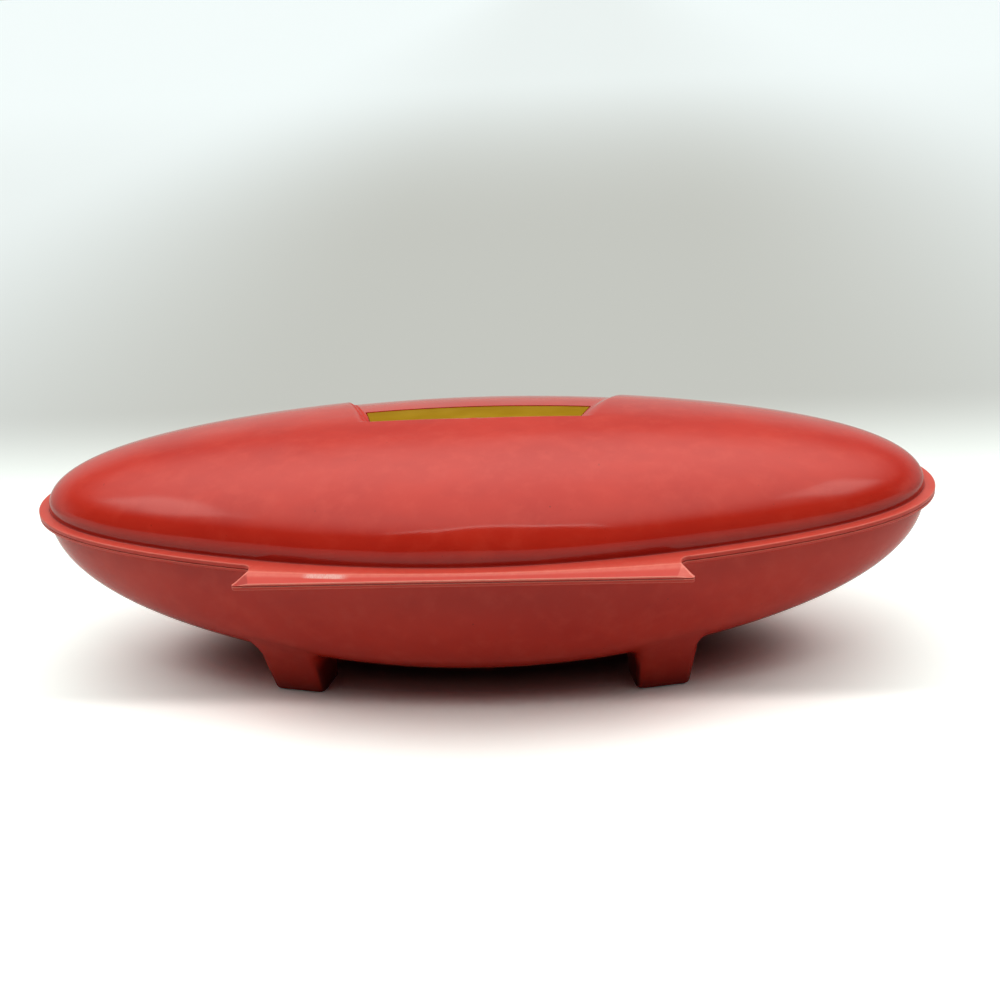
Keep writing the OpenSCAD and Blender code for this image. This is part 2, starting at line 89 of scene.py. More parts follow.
FEET_L, FEET_W, FOOT_W, FOOT_DEPTH = 109.0, 58.8, 16.2, 12.4
FOOT_TURN, FOOT_LEAN, FOOT_DRAFT = math.radians(11.5), math.radians(20), math.radians(3)
FOOT_R, FOOT_EDGE, FOOT_FILLET, FOOT_FRONT_FILLET = 2.2, 0.9, 3.2, 5.2
FOOT_SINK, FOOT_ROOT = 0.02, 1.2      # depth of a fillet's end and of its root in the bowl

FOLD_R_OUT, FOLD_R_IN = 0.2, 0.06     # radii of the hinge fold
FOLD_BACK = 0.16                      # how far it is set back from the hinge line


# Mesh building
class Skin:
    """Collects the points and faces of one closed mesh."""

    def __init__(self):
        self.points, self.faces, self.total = [], [], 0

    def add(self, points):
        points = np.asarray(points, float)
        index = np.arange(self.total, self.total + points[..., 0].size)
        self.points.append(points.reshape(-1, 3))
        self.total += index.size
        return index.reshape(points.shape[:-1])

    def loft(self, rows, closed=True):
        a, b = np.asarray(rows)[:-1], np.asarray(rows)[1:]
        if closed:
            a_next, b_next = np.roll(a, -1, 1), np.roll(b, -1, 1)
        else:
            a, a_next, b, b_next = a[:, :-1], a[:, 1:], b[:, :-1], b[:, 1:]
        self.faces += np.stack([a, a_next, b_next, b], -1).reshape(-1, 4).tolist()

    def fan(self, row, centre):
        tip = int(self.add([centre])[0])
        self.faces += [[int(a), int(b), tip] for a, b in zip(row, np.roll(row, -1))]

    def plate(self, row):
        self.faces.append([int(i) for i in row])


def piece(name, skin, material):
    mesh = bpy.data.meshes.new(name)
    mesh.from_pydata((np.concatenate(skin.points) * MM).tolist(), [], skin.faces)
    mesh.materials.append(material)
    made = bpy.data.objects.new(name, mesh)
    bpy.context.scene.collection.objects.link(made)
    face_outward(mesh)
    smooth(mesh)
    return made


def face_outward(mesh):
    work = bmesh.new()
    work.from_mesh(mesh)
    bmesh.ops.recalc_face_normals(work, faces=work.faces)
    work.to_mesh(mesh)
    work.free()


def smooth(mesh):
    mesh.polygons.foreach_set("use_smooth", np.ones(len(mesh.polygons), bool))
    mesh.set_sharp_from_angle(angle=SMOOTH_ANGLE)
    mesh.update()


def xyz(plan, z):
    plan = np.asarray(plan, float)
    return np.concatenate([plan, np.broadcast_to(z, plan.shape[:-1])[..., None]], -1)


def ease(x):
    """Soft step from 0 to 1."""
    x = np.clip(x, 0, 1)
    return x * x * (3 - 2 * x)


def soft_min(a, b, r):
    """The lesser of a and b, rounded over about r where they meet."""
    return 0.5 * (a + b - np.sqrt((a - b) ** 2 + r * r))


# Outline of the case
def draw_in(s):
    """Share of the plain ellipse's width at a share s of the half length."""
    return 1 - 4 * DRAW * s * s * (1 - s * s)


def boat(inset, t, fx=1.0, fy=1.0):
    """Outline of the case at the angles t, drawn in from the rims and shrunk by fx and fy."""
    return np.stack([(HALF_L - inset) * fx * np.cos(t),
                     (HALF_W - inset) * fy * np.sin(t) * draw_in(fx * np.cos(t))], -1)


def plan_normals(loop):
    """Directions that point out of a closed loop in plan."""
    along = np.roll(loop, -1, 0) - np.roll(loop, 1, 0)
    out = np.stack([along[:, 1], -along[:, 0]], -1)
    return out / np.linalg.norm(out, axis=1)[:, None]


def dome_at(x, y):
    """Height of the dome over points in plan."""
    s = x / (HALF_L - DOME_IN)
    v = y / ((HALF_W - DOME_IN) * draw_in(s))
    rho = np.clip(np.sqrt(s * s + v * v), 0, 1)
    return RIM_TOP_Z + DOME_H * (1 - rho ** DOME_P) ** (1 / DOME_P)


LIP_T = math.acos((LIP_HALF - 0.05 + LIP_CURL) / HALF_L)
TAB_T = math.acos(TAB_HALF / HALF_L)


def stations():
    """Angles round the case, closer at the ends of the tab and of the lip."""
    parts = [np.linspace(0, TAB_T, 190, endpoint=False),
             np.linspace(TAB_T, math.pi - TAB_T, 60, endpoint=False),
             np.linspace(math.pi - TAB_T, math.pi + LIP_T, 330, endpoint=False)]
    end_x = HALF_L * math.cos(LIP_T)
    inner = LIP_HALF - 4               # the stations lie closer from here to the lip's ends
    x = np.concatenate([np.linspace(-end_x, -inner, 34, endpoint=False),
                        np.linspace(-inner, inner, 120, endpoint=False),
                        np.linspace(inner, end_x, 34, endpoint=False)])
    parts.append(2 * math.pi - np.arccos(x / HALF_L))
    parts.append(np.linspace(2 * math.pi - LIP_T, 2 * math.pi, 160, endpoint=False))
    t = np.concatenate(parts)
    starts = np.cumsum([0] + [len(p) for p in parts])
    return t, (starts[1], starts[2]), (starts[3], starts[4])


T, TAB_SPAN, LIP_SPAN = stations()
RIM = boat(0, T)
RIM_OUT = plan_normals(RIM)


def patch_plan(g, end_curve, y_end):
    """Plan of an ear that grows out of the rim row g, between two curved ends."""
    u = g[:, 0] / abs(g[0, 0])
    x_half = np.concatenate([[abs(g[0, 0])], end_curve[:, 0]])
    w = (end_curve[:, 1] - g[0, 1]) / (y_end - g[0, 1])
    x = u[None, :] * x_half[1:, None]
    y = g[None, :, 1] + w[:, None] * (y_end - g[None, :, 1])
    return np.stack([x, y], -1)


def lip_end(inset):
    """End of the hinge lip in plan: the rim's edge curls in, and the mitre runs out again."""
    start = np.array([HALF_L * math.cos(LIP_T), boat(0, -LIP_T)[1]])
    centre = start + [0, -LIP_CURL]
    r = LIP_CURL + inset
    a = np.radians(np.linspace(90, 180, 13)[1:])
    curl = centre + r * np.stack([np.cos(a), np.sin(a)], -1)
    corner = np.array([LIP_HALF - inset, CREASE_END_Y])
    turn = np.radians(np.linspace(26.6, -90, 11))
    tip = np.array([LIP_TIP_X, LIP_FRONT + LIP_TIP_R])
    tip = tip + (LIP_TIP_R - inset) * np.stack([np.cos(turn), np.sin(turn)], -1)
    side = np.linspace(curl[-1], corner, 5)[1:]
    mitre = np.linspace(corner, tip[0], 20)[1:-1]
    return np.concatenate([curl, side, mitre, tip])


def tab_end(inset):
    """Rounded corner of the thumb tab in plan."""
    a = np.radians(np.linspace(0, 90, 11))
    r = TAB_R - inset
    corner = np.array([TAB_HALF - TAB_R, TAB_FRONT - TAB_R])
    return corner + r * np.stack([np.cos(a), np.sin(a)], -1)


def ears(g, inset, with_tab=True):
    """Plans of the hinge lip and the thumb tab for a rim row g, with their station spans."""
    a, b = LIP_SPAN
    row = g[a:b + 1]
    found = [(a, b + 1, patch_plan(row, lip_end(inset), LIP_FRONT + inset))]
    if with_tab:
        a, b = TAB_SPAN
        row = g[a:b + 1]
        found.append((a, b + 1, patch_plan(row, tab_end(inset), TAB_FRONT - inset)))
    return found


def add_ears(skin, g_index, g_plan, inset, height, with_tab=True):
    """Adds the ears to a rim row and returns the point numbers of the whole outer loop."""
    keep = {}
    for first, last, plan in ears(g_plan, inset, with_tab):
        index = skin.add(xyz(plan, height(plan[..., 0], plan[..., 1])))
        skin.loft(np.concatenate([g_index[None, first:last], index]), closed=False)
        keep[first] = (last, np.concatenate([index[:, 0], index[-1, 1:-1], index[::-1, -1]]))
    loop, i = [], 0
    while i < len(g_index):
        loop.append([g_index[i]])
        if i in keep:
            last, edge = keep[i]
            loop.append(edge)
            i = last - 1
        else:
            i += 1
    return np.concatenate(loop).astype(int)


def edge_rows(skin, top, low, r_top, r_low, steps=4):
    """Rounds the edge between two matching loops that lie above each other."""
    points = np.concatenate(skin.points)
    upper, lower = points[top], points[low]
    out = plan_normals(upper[:, :2])
    room = upper[:, 2] - lower[:, 2]
    rt, rl = np.minimum(r_top, 0.45 * room), np.minimum(r_low, 0.45 * room)
    rows = [top]
    for a in np.radians(np.linspace(0, 90, steps + 1)[1:]):
        plan = upper[:, :2] + out * (r_top * math.sin(a))
        rows.append(skin.add(xyz(plan, upper[:, 2] - rt * (1 - math.cos(a)))))
    for a in np.radians(np.linspace(90, 0, steps + 1)[:-1]):
        plan = lower[:, :2] + out * (r_top * math.sin(a))
        rows.append(skin.add(xyz(plan, lower[:, 2] + rl * (1 - math.cos(a)))))
    rows.append(low)
    skin.loft(np.array(rows))


# Lid
def panel_depth(x, y, z):
    """How far the panel is pressed in below the dome at a point of the lid."""
    half = PANEL_HALF + (y - PANEL_BACK) * math.tan(PANEL_ANGLE)
    c = math.cos(PANEL_ANGLE)
    right = ease((half - x) * c / 3.4 + 0.55)
    left = ease((half + x) * c / 1.8 + 0.5)
    back = ease((y - PANEL_BACK) / 1.5 + 0.5)
    front = ease((z - PANEL_FRONT_Z) / 1.4 + 0.5)
    return PANEL_DROP * right * left * back * front


def lip_top(x, y):
    """Height of the lid's rim, hinge lip and thumb tab over a point in plan."""
    ax = np.abs(x)
    crease = -HALF_W + LIP_SWEEP * (ax / LIP_HALF) ** 2
    fall = (RIM_TOP_Z - LID_Z - LIP_EDGE) / (np.minimum(crease, HINGE_Y + 7) - HINGE_Y)
    slope = RIM_TOP_Z - (crease - y) * fall
    past = y - CREASE_END_Y
    hip = RIM_TOP_Z - HIP_FALL * (ax - LIP_HALF - HIP_SPREAD * past) + HIP_CLIMB * past
    hip = hip + HIP_LIFT * np.maximum(past, 0)
    z = soft_min(soft_min(RIM_TOP_Z + 0.0 * x, slope, 0.04), hip, 0.02)
    z = np.where(y < -40, np.maximum(z, LID_Z + 0.25), RIM_TOP_Z)
    bead_y = TAB_FRONT - BEAD_R - 0.15
    ends = np.clip((TAB_HALF - TAB_R + 0.4 - ax) / 0.5, 0, 1)
    bead = np.sqrt(np.clip(BEAD_R ** 2 - (y - bead_y) ** 2, 0, None)) * np.sqrt(ends)
    return z + np.where(y > 40, bead, 0)


def lid_skin():
    skin = Skin()
    low = math.asin((DOME_FILLET / DOME_H) ** (DOME_P / 2))
    rows = []
    for angle in np.linspace(math.pi / 2, low, DOME_RINGS)[1:]:
        f = math.cos(angle) ** (2 / DOME_P)
        plan = boat(DOME_IN, T, f, f)
        z = RIM_TOP_Z + DOME_H * math.sin(angle) ** (2 / DOME_P)
        rows.append(xyz(plan, z - panel_depth(plan[:, 0], plan[:, 1], z)))
    dome_foot = rows[-1][:, :2]
    for a in np.radians(np.linspace(0, 90, 7)[1:]):
        plan = dome_foot + RIM_OUT * DOME_FILLET * (1 - math.cos(a))
        rows.append(xyz(plan, RIM_TOP_Z + DOME_FILLET * (1 - math.sin(a))))
    g = RIM - RIM_OUT * LID_EDGE_R
    start = rows[-1][:, :2]
    for k in (0.3, 0.6, 0.85):
        rows.append(xyz(start + (g - start) * k, RIM_TOP_Z))
    rows.append(xyz(g, lip_top(g[:, 0], g[:, 1])))
    index = skin.add(np.array(rows))
    skin.loft(index)
    crown = RIM_TOP_Z + DOME_H
    skin.fan(index[0], [0, 0, crown])
    top_loop = add_ears(skin, index[-1], g, LID_EDGE_R, lip_top)

    inner_in = DOME_IN + LID_WALL
    under = [xyz(g, LID_Z), xyz(boat(inner_in - 0.3, T), LID_Z),
             xyz(boat(inner_in, T), LID_Z + 0.3), xyz(boat(inner_in, T), RIM_TOP_Z)]
    for angle in np.linspace(0, math.pi / 2, LID_INNER_RINGS)[1:-1]:
        f = math.cos(angle) ** (2 / DOME_P)
        plan = boat(inner_in, T, f, f)
        z = RIM_TOP_Z + (DOME_H - LID_WALL) * math.sin(angle) ** (2 / DOME_P)
        pressed = z - panel_depth(plan[:, 0], plan[:, 1], z + LID_WALL)
        under.append(xyz(plan, np.maximum(pressed, RIM_TOP_Z)))
    under_index = skin.add(np.array(under))
    skin.loft(under_index)
    skin.fan(under_index[-1], [0, 0, crown - LID_WALL])
    low_loop = add_ears(skin, under_index[0], g, LID_EDGE_R, lambda x, y: LID_Z + 0 * x)
    edge_rows(skin, top_loop, low_loop, LID_EDGE_R, 0.25)
    return skin


def strip_plan(nx, ny, gap):
    """Plan of the strip or its pocket; the far edge bows, so that it narrows to its ends."""
    u = np.linspace(-1, 1, nx)[None, :]
    v = np.linspace(0, 1, ny)[:, None]
    near = PANEL_BACK + STRIP_IN + gap
    far = PANEL_BACK + STRIP_IN + STRIP_W - gap - STRIP_BOW * u * u
    y = near + (far - near) * v
    half = PANEL_HALF + (y - PANEL_BACK) * math.tan(PANEL_ANGLE)
    half = half - (STRIP_MARGIN + gap) / math.cos(PANEL_ANGLE)
    half = half - STRIP_SHORT * (0.3 + 0.7 * v)
    return np.stack([half * u, y], -1)


def ring_of(grid):
    """Border of a grid of point numbers."""
    return np.concatenate([grid[0, :-1], grid[:-1, -1], grid[-1, :0:-1], grid[:0:-1, 0]])


def strip_block(gap, top_depth, low_depth, edge=0.0, nx=121, ny=25):
    """Closed plate that follows the dome, between two depths below it."""
    skin = Skin()
    plan = strip_plan(nx, ny, gap + edge)
    z = dome_at(plan[..., 0], plan[..., 1])
    top = skin.add(xyz(plan, z - top_depth))
    low = skin.add(xyz(plan, z - low_depth))
    skin.loft(top, closed=False)
    skin.loft(low, closed=False)
    ring_top, ring_low = ring_of(top), ring_of(low)
    if edge:
        outer = ring_of(strip_plan(nx, ny, gap))
        z = dome_at(outer[:, 0], outer[:, 1])
        mid_top = skin.add(xyz(outer, z - top_depth - edge))
        mid_low = skin.add(xyz(outer, z - low_depth + edge))
        skin.loft(np.array([ring_top, mid_top, mid_low, ring_low]))
    else:
        skin.loft(np.array([ring_top, ring_low]))
    return skin


def cut(target, cutter):
    """Takes one closed piece out of another."""
    step = target.modifiers.new("cut", "BOOLEAN")
    step.operation = "DIFFERENCE"
    step.solver = "MANIFOLD"
    step.object = cutter
    bpy.context.view_layer.update()
    done = target.evaluated_get(bpy.context.evaluated_depsgraph_get())
    mesh = bpy.data.meshes.new_from_object(done)
    target.modifiers.clear()
    target.data = mesh
    bpy.data.objects.remove(cutter)
    smooth(mesh)


# Base
def base_lip_low(x, y):
    """Height of the underside of the base's rim and lip over a point in plan."""
    crease = -HALF_W + LIP_SWEEP * (np.abs(x) / LIP_HALF) ** 2
    drop = ease((crease - y) / 2.5)
    return RIM_LOW_Z - LIP_BELOW * np.where(y < 0, drop, 0)


def bowl_rows(inset, first, last, count):
    """Rings of the bowl, drawn in from its outer face."""
    rows = []
    for angle in np.linspace(first, last, count):
        k = math.sin(angle) ** (2 / BOWL_PX)
        fx = math.cos(angle) ** (2 / BOWL_PX)
        fy = (1 - k ** BOWL_PY) ** (1 / BOWL_PY)
        rows.append(xyz(boat(inset, T, fx, fy), RIM_LOW_Z - (BOWL_H - inset + BOWL_IN) * k))
    return rows


def bowl_side(x, y, z):
    """Above 0 outside the bowl, 0 on its outer face."""
    k = np.clip((RIM_LOW_Z - z) / BOWL_H, 1e-9, 1 - 1e-9)
    s = x / (HALF_L - BOWL_IN)
    v = y / ((HALF_W - BOWL_IN) * draw_in(s))
    fx = (1 - k ** BOWL_PX) ** (1 / BOWL_PX)
    fy = (1 - k ** BOWL_PY) ** (1 / BOWL_PY)
    return (s / fx) ** 2 + (v / fy) ** 2 - 1


def bowl_over(plan):
    """Height of the bowl's outer face over points in plan."""
    low = np.full(plan.shape[:-1], RIM_LOW_Z - BOWL_H)
    high = np.full(plan.shape[:-1], RIM_LOW_Z)
    for _ in range(30):
        mid = (low + high) / 2
        outside = bowl_side(plan[..., 0], plan[..., 1], mid) > 0
        low, high = np.where(outside, mid, low), np.where(outside, high, mid)
    return (low + high) / 2


def base_skin():
    skin = Skin()
    low_angle = math.asin((BOWL_FILLET / BOWL_H) ** (BOWL_PX / 2))
    rows = bowl_rows(BOWL_IN, math.pi / 2, low_angle, BOWL_RINGS)[1:]
    wall = rows[-1][:, :2]
    for a in np.radians(np.linspace(0, 90, 5)[1:]):
        plan = wall + RIM_OUT * BOWL_FILLET * (1 - math.cos(a))
        rows.append(xyz(plan, RIM_LOW_Z - BOWL_FILLET * (1 - math.sin(a))))
    g = RIM - RIM_OUT * BASE_EDGE_R
    start = rows[-1][:, :2]
    for k in (0.4, 0.8, 1.0):
        rows.append(xyz(start + (g - start) * k, RIM_LOW_Z))
    index = skin.add(np.array(rows))
    skin.loft(index)
    skin.fan(index[0], [0, 0, RIM_LOW_Z - BOWL_H])
    low_loop = add_ears(skin, index[-1], g, BASE_EDGE_R, base_lip_low, with_tab=False)

    r, bevel = SPIGOT_R, 0.3 * SPIGOT_R
    profile = [(SPIGOT_OUT, BASE_Z), (SPIGOT_OUT, SPIGOT_TOP - r),
               (SPIGOT_OUT + bevel, SPIGOT_TOP - bevel), (SPIGOT_OUT + r, SPIGOT_TOP),
               (SPIGOT_IN - r, SPIGOT_TOP), (SPIGOT_IN - bevel, SPIGOT_TOP - bevel),
               (SPIGOT_IN, SPIGOT_TOP - r), (SPIGOT_IN, JOINT_Z - 3)]
    top = [xyz(g, BASE_Z)] + [xyz(boat(inset, T), z) for inset, z in profile]
    top += bowl_rows(BOWL_IN + BASE_WALL, 0.12, math.pi / 2, BOWL_INNER_RINGS)[:-1]
    top_index = skin.add(np.array(top))
    skin.loft(top_index)
    skin.fan(top_index[-1], [0, 0, RIM_LOW_Z - BOWL_H + BASE_WALL])
    top_loop = add_ears(skin, top_index[0], g, BASE_EDGE_R,
                        lambda x, y: BASE_Z + 0 * x, with_tab=False)
    edge_rows(skin, top_loop, low_loop, BASE_EDGE_R, BASE_EDGE_R, steps=3)
    for sx in (1, -1):
        for sy in (1, -1):
            foot_block(skin, np.array([sx, sy]))
    return skin


def foot_stations(corner=10, straight=9):
    """Normal angle, side (1 to -1) and depth (0 front, 1 back) of the points round a foot."""
    corners = [(1, 1), (-1, 1), (-1, 0), (1, 0), (1, 1)]
    parts = []
    for k in range(4):
        side, depth = corners[k]
        turn = np.radians(np.linspace(90 * k, 90 * k + 90, corner))
        parts.append(np.stack([turn, np.full(corner, side), np.full(corner, depth)], -1))
        step = np.linspace(0, 1, straight + 2)[1:-1, None]
        here = np.array([math.radians(90 * k + 90), side, depth])
        then = np.array([math.radians(90 * k + 90), *corners[k + 1]])
        parts.append(here + (then - here) * step)
    return np.concatenate(parts).T


FOOT_A, FOOT_SIDE, FOOT_BACK = foot_stations()


def foot_plan(z, inset, r):
    """Outline of a foot at heights z, one per point, drawn in by an inset."""
    side = FOOT_W / 2 + z * math.tan(FOOT_DRAFT) - inset - r
    front = -z * math.tan(FOOT_LEAN) + inset + r
    back = FOOT_DEPTH + z * math.tan(FOOT_DRAFT) - inset - r
    px = side * FOOT_SIDE + r * np.cos(FOOT_A)
    py = front + (back - front) * FOOT_BACK + r * np.sin(FOOT_A)
    c, s = math.cos(FOOT_TURN), math.sin(FOOT_TURN)
    return np.stack([FEET_L / 2 + px * c - py * s, -FEET_W / 2 + px * s + py * c], -1)


def foot_block(skin, mirror):
    """One foot; its fillet ends along the bowl, so no crease shows where they meet."""
    n = len(FOOT_A)
    meets = np.full(n, FOOT_DEPTH)
    for _ in range(8):
        meets = bowl_over(foot_plan(meets, 0, FOOT_R))
    front = np.clip(-np.sin(FOOT_A), 0, 1) ** 3
    reach = FOOT_FILLET + (FOOT_FRONT_FILLET - FOOT_FILLET) * front
    end_plan = foot_plan(meets, -reach, FOOT_R + reach)
    ends = bowl_over(end_plan)
    slope = np.stack([bowl_over(end_plan + d) - bowl_over(end_plan - d)
                      for d in ([0.05, 0], [0, 0.05])], -1) / 0.1
    bend_z = meets
    for _ in range(10):
        bend_plan = foot_plan(bend_z, 0, FOOT_R)
        bend_z = ends + (slope * (bend_plan - end_plan)).sum(-1)
    start_z = bend_z - (0.6 + 0.5 * front) * reach
    start, bend = xyz(foot_plan(start_z, 0, FOOT_R), start_z), xyz(bend_plan, bend_z)
    inward = np.concatenate([-slope, np.ones((n, 1))], -1)
    inward /= np.linalg.norm(inward, axis=1)[:, None]
    end = xyz(end_plan, ends) + inward * FOOT_SINK
    rows = []
    for a in np.linspace(0, math.pi / 2, 6):
        inset = FOOT_EDGE * (1 - math.sin(a))
        z = np.full(n, FOOT_EDGE * (1 - math.cos(a)))
        rows.append(xyz(foot_plan(z, inset, FOOT_R - inset), z))
    for t in np.linspace(0, 1, 17):
        rows.append((1 - t) ** 2 * start + 2 * t * (1 - t) * bend + t * t * end)
    rows.append(end + inward * FOOT_ROOT)
    rows = np.array(rows)
    rows[..., :2] *= mirror
    index = skin.add(rows)
    skin.loft(index)
    skin.plate(index[0])
    centre = np.array([FEET_L / 2, -FEET_W / 2 + FOOT_DEPTH / 2]) * mirror
    skin.fan(index[-1], [centre[0], centre[1], float(bowl_over(centre)) + 2.0])


# Hinge fold
def hinge_skin():
    skin = Skin()
    a = np.radians(np.linspace(90, 270, 13))
    arc = np.stack([np.cos(a), np.sin(a)], -1)
    ring = np.concatenate([FOLD_R_OUT * arc, (FOLD_R_IN * arc)[::-1]])
    rows = [np.stack([np.full(len(ring), x), HINGE_Y + FOLD_BACK + ring[:, 0],
                      JOINT_Z + ring[:, 1]], -1)
            for x in np.linspace(-LIP_HALF, LIP_HALF, 201)]
    index = skin.add(np.array(rows))
    skin.loft(index)
    skin.plate(index[0])
    skin.plate(index[-1])
    return skin


# Shader maths
class Wire:
    """One shader socket that takes part in sums; a sum adds the nodes it needs."""

    def __init__(self, tree, socket):
        self.tree, self.socket = tree, socket

    def join(self, operation, other, swap=False):
        kind = self.socket.type
        if isinstance(other, (int, float)) and kind in ("VECTOR", "RGBA"):
            other = (other,) * 3 + ((1,) if kind == "RGBA" else ())
        first, second = (other, self) if swap else (self, other)
        if kind == "VECTOR":
            return self.tree.node("ShaderNodeVectorMath", {"operation": operation},
                                  {0: first, 1: second})
        if kind == "RGBA":
            return self.tree.node("ShaderNodeMix", {"data_type": "RGBA", "blend_type": operation},
                                  {0: 1.0, 6: first, 7: second}, out=2)
        return self.tree.node("ShaderNodeMath", {"operation": operation}, {0: first, 1: second})

    def __add__(self, other): return self.join("ADD", other)
    def __radd__(self, other): return self.join("ADD", other, True)
    def __sub__(self, other): return self.join("SUBTRACT", other)
    def __rsub__(self, other): return self.join("SUBTRACT", other, True)
    def __mul__(self, other): return self.join("MULTIPLY", other)
    def __rmul__(self, other): return self.join("MULTIPLY", other, True)
    def __truediv__(self, other): return self.join("DIVIDE", other)
    def __pow__(self, other): return self.join("POWER", other)
    def __abs__(self): return self.tree.node("ShaderNodeMath", {"operation": "ABSOLUTE"}, {0: self})

    def rise(self, low, high):
        """0 below low, 1 above high, with a soft step between."""
        return self.tree.node("ShaderNodeMapRange", {"interpolation_type": "SMOOTHSTEP"},
                              {0: self, 1: low, 2: high, 3: 0.0, 4: 1.0})

    def fall(self, low, high):
        """1 below low, 0 above high."""
        return 1 - self.rise(low, high)

    def band(self, low, full, end, gone):
        """1 between full and end, 0 below low and above gone."""
        return self.rise(low, full) * self.fall(end, gone)


class Tree:
    """Node tree of one material or of the world."""

    def __init__(self, owner):
        owner.use_nodes = True
        self.data = owner.node_tree
        self.data.nodes.clear()

    def node(self, kind, settings=None, inputs=None, out=0):
        made = self.data.nodes.new(kind)
        for key, value in (settings or {}).items():
            setattr(made, key, value)
        for key, value in (inputs or {}).items():
            if isinstance(value, Wire):
                self.data.links.new(value.socket, made.inputs[key])
            else:
                made.inputs[key].default_value = value
        return Wire(self, made.outputs[out]) if made.outputs else made

    def place(self):
        """Position on the piece in millimetres."""
        return self.node("ShaderNodeTexCoord", out=3) * 1000.0

    def axes(self, where):
        outputs = self.node("ShaderNodeSeparateXYZ", None, {0: where}).socket.node.outputs
        return [Wire(self, outputs[i]) for i in range(3)]

    def noise(self, where, size, detail=2.0, rough=0.5, seed=0.0):
        """Soft noise around 0.5, with its lumps about size millimetres across."""
        return self.node("ShaderNodeTexNoise", {"noise_dimensions": "4D"},
                         {"Vector": where, "W": seed, "Scale": 1.0 / size,
                          "Detail": detail, "Roughness": rough})

    def seen(self):
        """1 for what the camera shows, then 1 for what a reflection or glass shows."""
        outputs = self.node("ShaderNodeLightPath").socket.node.outputs
        camera_ray, glossy, glass = [Wire(self, outputs[name]) for name in
                                     ("Is Camera Ray", "Is Glossy Ray", "Is Transmission Ray")]
        return camera_ray, (glossy + glass).rise(0.0, 1.0)

    def level(self, value):
        """A grey of the given level, to scale a colour with."""
        return self.node("ShaderNodeCombineColor", None, {0: value, 1: value, 2: value})

    def mix(self, factor, a, b):
        return self.node("ShaderNodeMix", {"data_type": "RGBA"}, {0: factor, 6: a, 7: b}, out=2)

    def bump(self, strength, distance, height):
        return self.node("ShaderNodeBump", None,
                         {"Strength": strength, "Distance": distance, "Height": height})

    def principled(self, inputs):
        """Ends a material with one shader."""
        self.finish("ShaderNodeOutputMaterial", self.node("ShaderNodeBsdfPrincipled", None, inputs))

    def finish(self, kind, shader):
        self.node(kind, None, {0: shader})


def new_material(name):
    material = bpy.data.materials.new(name)
    return material, Tree(material)


def rgb(r, g, b):
    """Linear colour from the usual 0 to 255 values."""
    def linear(c):
        c /= 255
        return c / 12.92 if c <= 0.04045 else ((c + 0.055) / 1.055) ** 2.4
    return (linear(r), linear(g), linear(b), 1.0)


# Coral plastic
CORAL_DEEP, CORAL, CORAL_BLOTCH, CORAL_BLOOM, SPECK = (
    rgb(201, 44, 30), rgb(212, 52, 35), rgb(190, 38, 28), rgb(220, 68, 50), rgb(96, 20, 16))
# Of these colours, those for the left hip facet, the dome's foot and the feet's inner sides are
# painted shade; those for the rims and the pale edges are partly wear, partly painted sheen and
# highlight.
RUBBED_AND_SHEEN, SHADED, WORN_AND_HIGHLIGHT, JOINT_DIRT, SCUFFED, DOME_FOOT_SHADE, FOOT_INSIDE_SHADE = (
    rgb(224, 84, 70), rgb(150, 32, 26), rgb(244, 140, 124), rgb(60, 12, 10),
    rgb(246, 214, 206), rgb(120, 16, 10), rgb(48, 9, 8))

# Heights between which the lines along the rims, and the painted shade at the dome's foot, fade in
# and out
RIM_BAND = (50.1, 50.4, 52.8, 53.2)
LID_EDGE_BAND = (52.3, 52.6, 52.74, 52.76)
BASE_EDGE_BAND = (51.0, 51.2, 51.3, 51.34)
BASE_LIP_BAND = (51.0, 51.1, 51.25, 51.3)
DOME_FOOT_SHADE_BAND = (52.78, 52.9, 53.5, 57.5)

SCUFF_X = (-43, -39.5, -33, -29)      # the scuff on the lip, along the case
SCUFF_BELOW = (0.1, 0.3, 1.8, 2.5)    # and from the crease towards the hinge
MITRE_SLOPE = 0.5                     # the mitres run out half as far as they run back


def waxy_plastic(tree, base, rough, height, refraction, depth):
    """Moulded plastic; height is in millimetres, depth is the share of light that sinks in."""
    tree.principled({
        "Base Color": base, "Roughness": rough, "Normal": tree.bump(1.0, MM, height),
        "IOR": refraction, "Subsurface Weight": depth,
        "Subsurface Radius": (0.004, 0.0012, 0.0008), "Subsurface Scale": 0.4})


def coral_plastic():
    material, tree = new_material("coral_plastic")
    where = tree.place()
    cloud = tree.noise(where, 34, 3.0, 0.55, 1.0)
    fine = tree.noise(where, 6, 3.0, 0.6, 2.0)
    blotch = tree.noise(where * (0.6, 1.0, 1.0), 11, 4.0, 0.6, 12.0)
    speck = tree.noise(where, 1.1, 1.0, 0.5, 13.0).rise(0.76, 0.82)
    base = tree.mix(cloud.rise(0.3, 0.7), CORAL_DEEP, CORAL)
    base = tree.mix(blotch.rise(0.42, 0.7) * 0.3, base, CORAL_BLOTCH)
    base = tree.mix(fine.rise(0.45, 0.75) * 0.38, base, CORAL_BLOOM)
    base = tree.mix(speck * 0.45, base, SPECK)
    # The rims are painted paler and made rougher: partly rubbed wear, partly painted sheen.
    rim = tree.axes(where)[2].band(*RIM_BAND)
    for amount, colour in wear_and_painted_light(tree, where, rim):
        base = tree.mix(amount, base, colour)

    sink = tree.noise(where, 30, 1.5, 0.5, 3.0)
    skin = tree.noise(where, 1.6, 2.0, 0.5, 4.0)
    flow = tree.noise(where * (0.45, 1.0, 1.0), 15, 2.0, 0.5, 10.0)
    rough = 0.05 + cloud * 0.05 + fine * 0.05 + blotch * 0.03 + rim * 0.2
    waxy_plastic(tree, base, rough, sink * 0.7 + flow * 0.16 + skin * 0.004, 1.39, 0.12)
    return material


